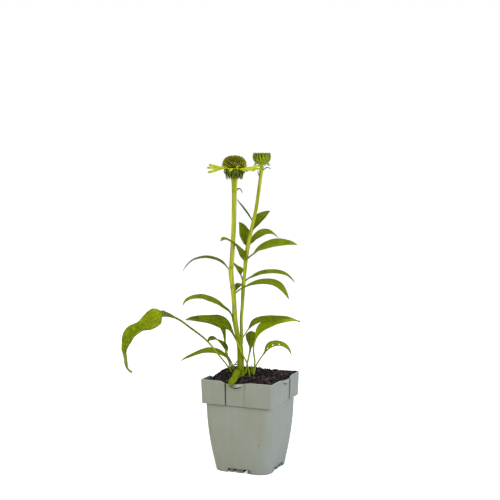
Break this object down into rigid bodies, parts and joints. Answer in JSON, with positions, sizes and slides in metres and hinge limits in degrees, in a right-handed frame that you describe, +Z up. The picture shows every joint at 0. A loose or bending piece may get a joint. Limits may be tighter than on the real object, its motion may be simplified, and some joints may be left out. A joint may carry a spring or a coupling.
{
  "type": "potted purple coneflower plant",
  "caption": "Young purple coneflower plant with an open pale green flower, a bud and long arching leaves, growing in soil in a square grey nursery pot.",
  "frame": {"origin": "middle of the pot's underside, on the surface that the pot stands on", "axes": "+Z up along the plant; the pot's four walls face along X and Y"},
  "size_m": [0.2001, 0.1097, 0.3745],
  "materials": {
    "pot": "moulded grey-green plastic, satin",
    "soil": "moist peat and bark potting compost",
    "stem": "yellow-green living stem, finely ribbed and hairy",
    "leaf": "bright green leaf, slightly rough, with sunken veins",
    "bract": "dark green bracts, hairy",
    "ray": "soft lime-yellow petals, finely grooved along",
    "cone": "olive stiff scales with paler tips",
    "bud": "green bud bracts with pale edges"
  },
  "bodies": {
    "root": {"pot": "pot", "soil": "soil", "stems": "stem", "leaf_bract_main": "leaf", "leaf_main_1": "leaf", "leaf_main_2": "leaf", "leaf_main_3": "leaf", "leaf_main_4": "leaf", "leaf_side_1": "leaf", "leaf_side_2": "leaf", "leaf_side_3": "leaf", "leaf_side_4": "leaf", "leaf_side_5": "leaf", "leaf_side_6": "leaf", "leaf_side_7": "leaf", "leaf_side_8": "leaf", "leaf_side_9": "leaf", "leaf_bud_left": "leaf", "leaf_bud_right": "leaf", "leaf_crown_1": "leaf", "leaf_crown_2": "leaf", "leaf_crown_3": "leaf", "leaf_crown_4": "leaf", "leaf_crown_5": "leaf", "leaf_crown_6": "leaf", "leaf_crown_7": "leaf", "leaf_crown_8": "leaf", "leaf_crown_9": "leaf", "flower_involucre": "bract", "flower_rays": "ray", "flower_cone": "cone", "bud_bracts": "bud", "bud_disc": "bud"}
  },
  "joints": []
}
